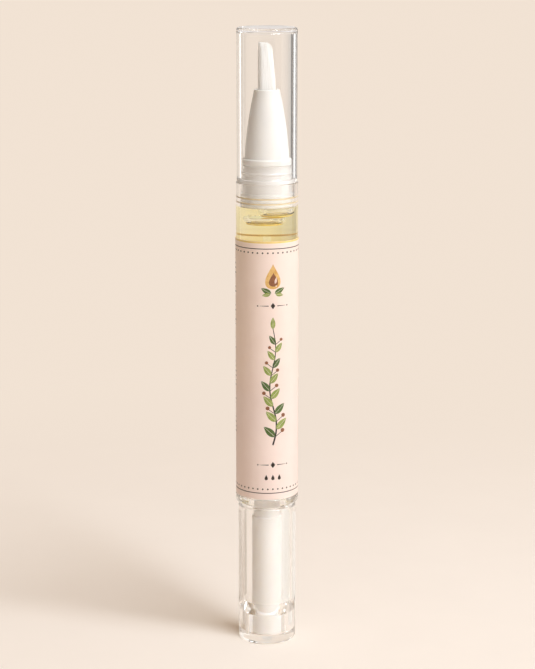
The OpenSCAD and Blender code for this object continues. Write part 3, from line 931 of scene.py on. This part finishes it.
def stroke(points, width):
    """A line of even width through points, as one band of quads that lap over a little."""
    quads = []
    for (s0, z0), (s1, z1) in zip(points, points[1:]):
        along = Vector((s1 - s0, z1 - z0))
        side = Vector((-along.y, along.x)).normalized() * (width / 2)
        reach = along.normalized() * STROKE_LAP
        quads.append([(s0 - side.x - reach.x, z0 - side.y - reach.y),
                      (s1 - side.x + reach.x, z1 - side.y + reach.y),
                      (s1 + side.x + reach.x, z1 + side.y + reach.y),
                      (s0 + side.x - reach.x, z0 + side.y - reach.y)])
    return quads


def dashes(left, right, z, height):
    """A row of short dashes of uneven length."""
    shapes = []
    s = left
    while s < right - DASH_ROOM:
        width = min(seed.uniform(*DASH_WIDTHS), right - s)
        shapes += bar(s + width / 2, z, width, height)
        s += width + DASH_GAP
    return shapes


def printed(name, shapes, material, layer=0):
    """Lays flat shapes round the film as thin solids; a higher layer lies over the others."""
    bottom = LABEL_R - INK_ROOT
    top = LABEL_R + INK * (layer + 1)
    mesh = bmesh.new()
    for shape in shapes:
        corners = [mesh.verts.new((s, 0, z)) for s, z in shape]
        for triangle in tessellate_polygon([[Vector((s, z, 0)) for s, z in shape]]):
            mesh.faces.new([corners[i] for i in triangle])
    ends = [v.co.x for v in mesh.verts]
    cut = math.floor(min(ends) / PRINT_STEP) * PRINT_STEP
    while cut < max(ends):
        bmesh.ops.bisect_plane(mesh, geom=mesh.verts[:] + mesh.edges[:] + mesh.faces[:],
                               dist=SAME_POINT, plane_co=(cut, 0, 0), plane_no=(1, 0, 0))
        cut += PRINT_STEP
    bmesh.ops.recalc_face_normals(mesh, faces=mesh.faces[:])
    for face in mesh.faces:
        if face.normal.y > 0:
            face.normal_flip()
    raised = bmesh.ops.extrude_face_region(mesh, geom=mesh.faces[:], use_keep_orig=True)
    lifted = {v for v in raised["geom"] if isinstance(v, bmesh.types.BMVert)}
    for vertex in mesh.verts:
        r = top if vertex in lifted else bottom
        a = (vertex.co.x + PRINT_SHIFT) / LABEL_R
        vertex.co = (r * math.sin(a) * MM, -r * math.cos(a) * MM, vertex.co.z * MM)
    bmesh.ops.recalc_face_normals(mesh, faces=mesh.faces[:])
    finished(name, mesh, "barrel", material)


def border(z_rule, z_dots):
    """A fine rule with a row of dots beside it, all round."""
    shapes = bar(0, z_rule, 2 * PRINT_HALF, RULE)
    for i in range(BORDER_DOTS):
        s = (i + 0.5 - BORDER_DOTS / 2) * 2 * PRINT_HALF / BORDER_DOTS
        shapes += disc(s, z_dots, BORDER_DOT_R, DOT_STEPS)
    return shapes


def divider(z):
    """A diamond between two tapered lines, each with a dot at its end."""
    shapes = diamond(0, z, 0.9, 1.25)
    for side in (-1, 1):
        shapes += [[(side * 0.85, z + 0.09), (side * 0.85, z - 0.09),
                    (side * DIVIDER_REACH, z - 0.02), (side * DIVIDER_REACH, z + 0.02)]]
        shapes += disc(side * (DIVIDER_REACH + 0.35), z, 0.14, DOT_STEPS)
    return shapes


def vine(bottom, top, sway, turns):
    """Stem, leaves and berries of an upright spray, whose parts get smaller upwards."""
    def place(t):
        aside = sway * math.sin(turns * math.pi * t) * (1 - VINE_SHRINK * t)
        return aside, bottom + (top - bottom) * t

    stem, dark, green, berries = [], [], [], []
    path = [place(i / VINE_STEPS) for i in range(VINE_STEPS + 1)]
    for i, (a, b) in enumerate(zip(path, path[1:])):
        stem += stroke([a, b], 0.34 - 0.2 * i / VINE_STEPS)
    for i in range(VINE_LEAVES):
        t = 0.07 + 0.86 * i / VINE_LEAVES
        s, z = place(t)
        side = 1 if i % 2 else -1
        size = 1 - VINE_SHRINK * t
        lift = 42 + 16 * t
        angle = lift if side > 0 else 180 - lift
        target = dark if i % 3 == 0 else green
        target += leaf(s, z, 3.1 * size, 1.35 * size, angle)
        if i % 3 != 1:
            end = (s - side * 1.35 * size, z + 1.0 * size)
            stem += stroke([(s, z), end], 0.12)
            berries += disc(end[0] - side * 0.2, end[1] + 0.25, 0.42 * size)
    s, z = place(1)
    green += leaf(s, z - 0.1, 2.3, 0.9, 90)
    return stem, dark, green, berries


def print_front():
    """Borders, a drop over two pairs of leaves, a spray of leaves and berries, and three drops."""
    dark = []
    for z_rule, z_dots in BORDERS:
        dark += border(z_rule, z_dots)
    for z in DIVIDERS:
        dark += divider(z)
    stem, dark_leaves, green_leaves, berries = vine(*VINE, sway=0.75, turns=3)
    dark += stem
    for side in (-1, 1):
        dark_leaves += leaf(side * 0.35, 71.0, 2.2, 0.95, 90 - side * 62)
        green_leaves += leaf(side * 0.5, 70.9, 1.6, 0.7, 90 - side * 100)
    for i in (-1, 0, 1):
        dark += drop(i * 1.3, SMALL_DROPS_Z, 0.36, 1.1)
    printed("print_dark", dark, INK_DARK)
    printed("print_leaves", dark_leaves, INK_LEAF)
    printed("print_green", green_leaves, INK_GREEN, 1)
    printed("print_berries", berries, INK_BROWN, 2)
    foil = bar(-PRINT_SHIFT, LABEL_TOP - 0.19, math.tau * LABEL_R - 0.02, 0.34)
    printed("print_edge", foil, INK_FOIL)
    printed("print_drop", drop(0, EMBLEM_Z, 1.75, 4.9), INK_GOLD)
    printed("print_drop_core", drop(0.1, 73.7, 1.05, 2.7), INK_BROWN, 1)
    light = leaf(0.42, 72.9, 1.3, 0.34, 78) + disc(0.62, 72.45, 0.13, DOT_STEPS)
    printed("print_drop_light", light, LABEL, 2)


def print_rows():
    """Groups of dashed rows on the left, where the last row of a group is shorter."""
    rows = []
    z = ROW_TOP
    for group in ROW_GROUPS:
        for i in range(group):
            short = seed.uniform(0.5, 4) if i == group - 1 else seed.uniform(0, 0.35)
            rows += dashes(ROW_LEFT, ROW_RIGHT - short, z, 0.27)
            z -= ROW_PITCH
        z -= ROW_GROUP_GAP
    printed("print_rows", rows, INK_DARK)


def print_panel():
    """A frame with dashed rows, three diamonds with rows beside them, and small diamonds."""
    middle = (sum(PANEL_S) / 2, sum(PANEL_Z) / 2)
    panel = []
    for z in PANEL_Z:
        panel += bar(middle[0], z, PANEL_S[1] - PANEL_S[0], PANEL_LINE)
    for s in PANEL_S:
        panel += bar(s, middle[1], PANEL_LINE, PANEL_Z[0] - PANEL_Z[1])
    for i in range(7):
        panel += dashes(10.2, 16.3 - (i % 3) * 0.9, 73.6 - i * 0.95, 0.26)
    for i, z in enumerate((63.6, 60.6, 57.6)):
        panel += diamond(11.0, z, 1.0, 1.4)
        panel += dashes(12.2, 16.2 - 0.7 * i, z + 0.4, 0.24)
        panel += dashes(12.2, 15.1, z - 0.45, 0.24)
    for row, z in enumerate((54.0, 52.4, 50.8)):
        for i in range(5 - row % 2):
            panel += diamond(10.8 + 0.6 * (row % 2) + 1.2 * i, z, 0.55, 0.75)
    printed("print_panel", panel, INK_DARK)


def print_sprig():
    """An upright sprig of five pairs of leaves."""
    sprig = []
    for i in range(5):
        for side in (-1, 1):
            sprig += leaf(SPRIG_S + side * 0.1, 38.6 + i * 1.5, 1.9 - 0.2 * i, 0.75, 90 - side * 48)
    printed("print_sprig", sprig + leaf(SPRIG_S, 45.8, 1.6, 0.6, 90), INK_LEAF)
    printed("print_sprig_stem", stroke([(SPRIG_S, 35.4), (SPRIG_S, 45.9)], 0.16), INK_DARK)


for draw in (print_front, print_rows, print_panel, print_sprig):
    draw()


# Stage, lamp and camera, in metres and degrees

CREAM = (0.885, 0.765, 0.655)
FLOOR_COLOUR = (0.955, 0.88, 0.81)
FLOOR_R = 6
FLOOR_GAP = 0.00005
FLOOR_FADE = (0.05, 0.22)

# Fill light: its colour, its strength at the dark and the bright end, and the line between them
AMBIENT = (0.42, 0.325, 0.238)
FILL_SHARES = (0.45, 1.35)
FILL_AXIS = (0.9, 0, 0.44)

KEY_POWER = 14.3
KEY_COLOUR = (0.9, 0.97, 1.04)
KEY_SIZE = 0.65
KEY_AZIMUTH = 50
KEY_ELEVATION = 45
KEY_DISTANCE = 1.2
KEY_TARGET = (0, 0, 0.06)

CAMERA_PLACE = (0.0001, -0.38, 0.1453)
CAMERA_TARGET = (0.0001, 0, 0.06175)
CAMERA_LENS_MM = 108
CAMERA_SENSOR_MM = 36
CAMERA_CLIP = (0.01, 50)

# Bounces that light needs to get through the clear walls and the bristles
CLEAR_BOUNCES = 48
TRANSPARENT_BOUNCES = 32


def seen_by_eye(owner):
    """1 for camera, glossy and transmission rays."""
    path = node_in(owner, "ShaderNodeLightPath").outputs
    value = path["Is Camera Ray"]
    for ray in ("Is Glossy Ray", "Is Transmission Ray"):
        value = worked_out(owner, "MAXIMUM", value, path[ray])
    return value


def stage_world():
    """The backdrop's colour for what is seen, and a fill light that is weaker from the left."""
    world = bpy.data.worlds.new("studio")
    bpy.context.scene.world = world
    world.use_nodes = True
    seen = node_in(world, "ShaderNodeBackground", Color=(*CREAM, 1))
    lit = world.node_tree.nodes["Background"]
    place = node_in(world, "ShaderNodeTexCoord")
    along = node_in(world, "ShaderNodeVectorMath")
    along.operation = "DOT_PRODUCT"
    along.inputs[1].default_value = FILL_AXIS
    side = node_in(world, "ShaderNodeMapRange", From_Min=-1)
    fill = node_in(world, "ShaderNodeValToRGB")
    for element, share in zip(fill.color_ramp.elements, FILL_SHARES):
        element.color = (*[c * share for c in AMBIENT], 1)
    link(world, place.outputs["Generated"], along.inputs[0])
    link(world, along.outputs["Value"], side.inputs["Value"])
    link(world, side.outputs["Result"], fill.inputs["Fac"])
    link(world, fill.outputs["Color"], lit.inputs["Color"])
    show(world, mixed(world, seen_by_eye(world), lit.outputs["Background"],
                      seen.outputs["Background"]))


def stage_floor():
    """A wide pale floor that fades into the backdrop's colour away from the pen."""
    bpy.ops.mesh.primitive_circle_add(vertices=96, radius=FLOOR_R, fill_type="NGON")
    floor = bpy.context.object
    floor.name = "floor"
    floor.location.z = -FLOOR_GAP
    material = new_material("floor")
    surface = surface_of(material)
    surface.inputs["Roughness"].default_value = 0.9
    surface.inputs["Specular IOR Level"].default_value = 0.1
    cloud = noise_in(material, scale=60, detail=4)
    colour(material, cloud, FLOOR_COLOUR, [c * 0.985 for c in FLOOR_COLOUR])
    glow = node_in(material, "ShaderNodeEmission", Color=(*CREAM, 1))
    place = node_in(material, "ShaderNodeTexCoord")
    length = node_in(material, "ShaderNodeVectorMath")
    length.operation = "LENGTH"
    fade = node_in(material, "ShaderNodeMapRange", From_Min=FLOOR_FADE[0], From_Max=FLOOR_FADE[1])
    fade.interpolation_type = "SMOOTHSTEP"
    link(material, place.outputs["Object"], length.inputs[0])
    link(material, length.outputs["Value"], fade.inputs["Value"])
    share = worked_out(material, "MULTIPLY", fade.outputs["Result"], seen_by_eye(material))
    show(material, mixed(material, share, surface.outputs["BSDF"], glow.outputs["Emission"]))
    floor.data.materials.append(material)


def stage_lamp():
    """The key: a square softbox that faces the middle of the pen from the upper right."""
    light = bpy.data.lights.new("key", "AREA")
    light.energy = KEY_POWER
    light.size = KEY_SIZE
    light.color = KEY_COLOUR
    a, e = math.radians(KEY_AZIMUTH), math.radians(KEY_ELEVATION)
    away = Vector((math.sin(a) * math.cos(e), -math.cos(a) * math.cos(e), math.sin(e)))
    holder = bpy.data.objects.new("key", light)
    holder.location = Vector(KEY_TARGET) + away * KEY_DISTANCE
    holder.rotation_mode = "QUATERNION"
    holder.rotation_quaternion = away.to_track_quat("Z", "Y")
    bpy.context.scene.collection.objects.link(holder)


def stage_card(name, start, end, first, last=None, distance=0.4, heights=(0.03, 0.12),
               reflected_only=False, flag=False):
    """An upright card between two angles from the view's direction, to the right.

    Its colour goes from first to last. Glossy and transmitted rays see it. With reflected_only only
    glossy rays do, and with flag only bounced light does.
    """
    bottom, top = heights
    corners = []
    for angle, z in ((start, bottom), (end, bottom), (end, top), (start, top)):
        a = math.radians(angle)
        corners.append((math.sin(a) * distance, math.cos(a) * distance, z))
    data = bpy.data.meshes.new(name)
    data.from_pydata(corners, [], [(0, 1, 2, 3)])
    card = bpy.data.objects.new(name, data)
    bpy.context.scene.collection.objects.link(card)
    material = new_material(name)
    place = node_in(material, "ShaderNodeTexCoord")
    split = node_in(material, "ShaderNodeSeparateXYZ")
    blend = node_in(material, "ShaderNodeValToRGB")
    blend.color_ramp.elements[0].color = (*first, 1)
    blend.color_ramp.elements[1].color = (*(last or first), 1)
    glow = node_in(material, "ShaderNodeEmission")
    link(material, place.outputs["Generated"], split.inputs["Vector"])
    link(material, split.outputs["X"], blend.inputs["Fac"])
    link(material, blend.outputs["Color"], glow.inputs["Color"])
    show(material, glow.outputs["Emission"])
    data.materials.append(material)
    card.visible_camera = False
    card.visible_diffuse = flag
    card.visible_glossy = not flag
    card.visible_shadow = False
    card.visible_transmission = not (reflected_only or flag)


def stage_camera():
    """The photograph's view: 380 mm in front, looking down 12.4 degrees through a long lens."""
    data = bpy.data.cameras.new("camera")
    data.lens = CAMERA_LENS_MM
    data.sensor_width = CAMERA_SENSOR_MM
    data.clip_start, data.clip_end = CAMERA_CLIP
    camera = bpy.data.objects.new("camera", data)
    camera.location = CAMERA_PLACE
    away = Vector(CAMERA_PLACE) - Vector(CAMERA_TARGET)
    camera.rotation_mode = "QUATERNION"
    camera.rotation_quaternion = away.to_track_quat("Z", "Y")
    bpy.context.scene.collection.objects.link(camera)
    bpy.context.scene.camera = camera


stage_world()
stage_floor()
stage_lamp()

# Behind the pen: soft shade at both sides, and the dark and bright lines of the clear walls
stage_card("left_dim", -34, -5, (0.62, 0.54, 0.46), CREAM)
stage_card("left_low", -60, -3, (0.42, 0.37, 0.3), CREAM, heights=(0.0, 0.03))
stage_card("left_strip", -48, -42, (1.4, 1.38, 1.35), (1.5, 1.48, 1.45), heights=(0.037, 0.12))
stage_card("right_dim", 5, 17, CREAM, (0.48, 0.44, 0.4))
stage_card("right_edge", 17, 30, (0.06, 0.062, 0.065), heights=(0.037, 0.12))
stage_card("right_strip", 30, 47, (1.3, 1.28, 1.25), heights=(0.037, 0.12))
stage_card("right_flag", 47, 66, (0.12, 0.115, 0.11), (0.16, 0.15, 0.14))

# Beside the pen: the bright lines in reflections
stage_card("right_side", 74, 125, (1.6, 1.58, 1.55), distance=0.25, heights=(0.0, 0.6),
           reflected_only=True)
stage_card("cap_line", -66, -60, (4.5, 4.4, 4.3), distance=0.25, heights=(0.058, 0.11),
           reflected_only=True)
stage_card("low_line", -66, -61, (1.7, 1.66, 1.6), distance=0.25, heights=(0.0, 0.058),
           reflected_only=True)

# Far off: what the cap's top and the knob's thick foot show, and the dark front of reflections
stage_card("over_back", -60, 60, (0.8, 0.765, 0.75), distance=2.5, heights=(0.2, 0.36))
stage_card("foot_glow", -50, 50, (0.42, 0.36, 0.3), (1.12, 1.05, 0.98), distance=2.5,
           heights=(0.36, 0.62))
stage_card("dark_front", 150, 210, (0.4, 0.37, 0.35), distance=1.0, heights=(0.0, 0.9),
           reflected_only=True)

# Close to the pen: a flag that deepens the left of the head, and the two sides of the knob
stage_card("head_flag", -125, -75, (0, 0, 0), distance=0.03, heights=(0.075, 0.107), flag=True)
stage_card("knob_dim", -64, -38, (0.74, 0.65, 0.56), (0.44, 0.35, 0.28), distance=0.011,
           heights=(0.0, 0.024))
stage_card("knob_light", 22, 66, (1.0, 0.95, 0.88), (0.9, 0.83, 0.74), distance=0.011,
           heights=(0.0, 0.024))

stage_camera()
scene = bpy.context.scene
scene.view_settings.view_transform = "Standard"
scene.cycles.max_bounces = CLEAR_BOUNCES
scene.cycles.transmission_bounces = CLEAR_BOUNCES
scene.cycles.glossy_bounces = CLEAR_BOUNCES
scene.cycles.transparent_max_bounces = TRANSPARENT_BOUNCES
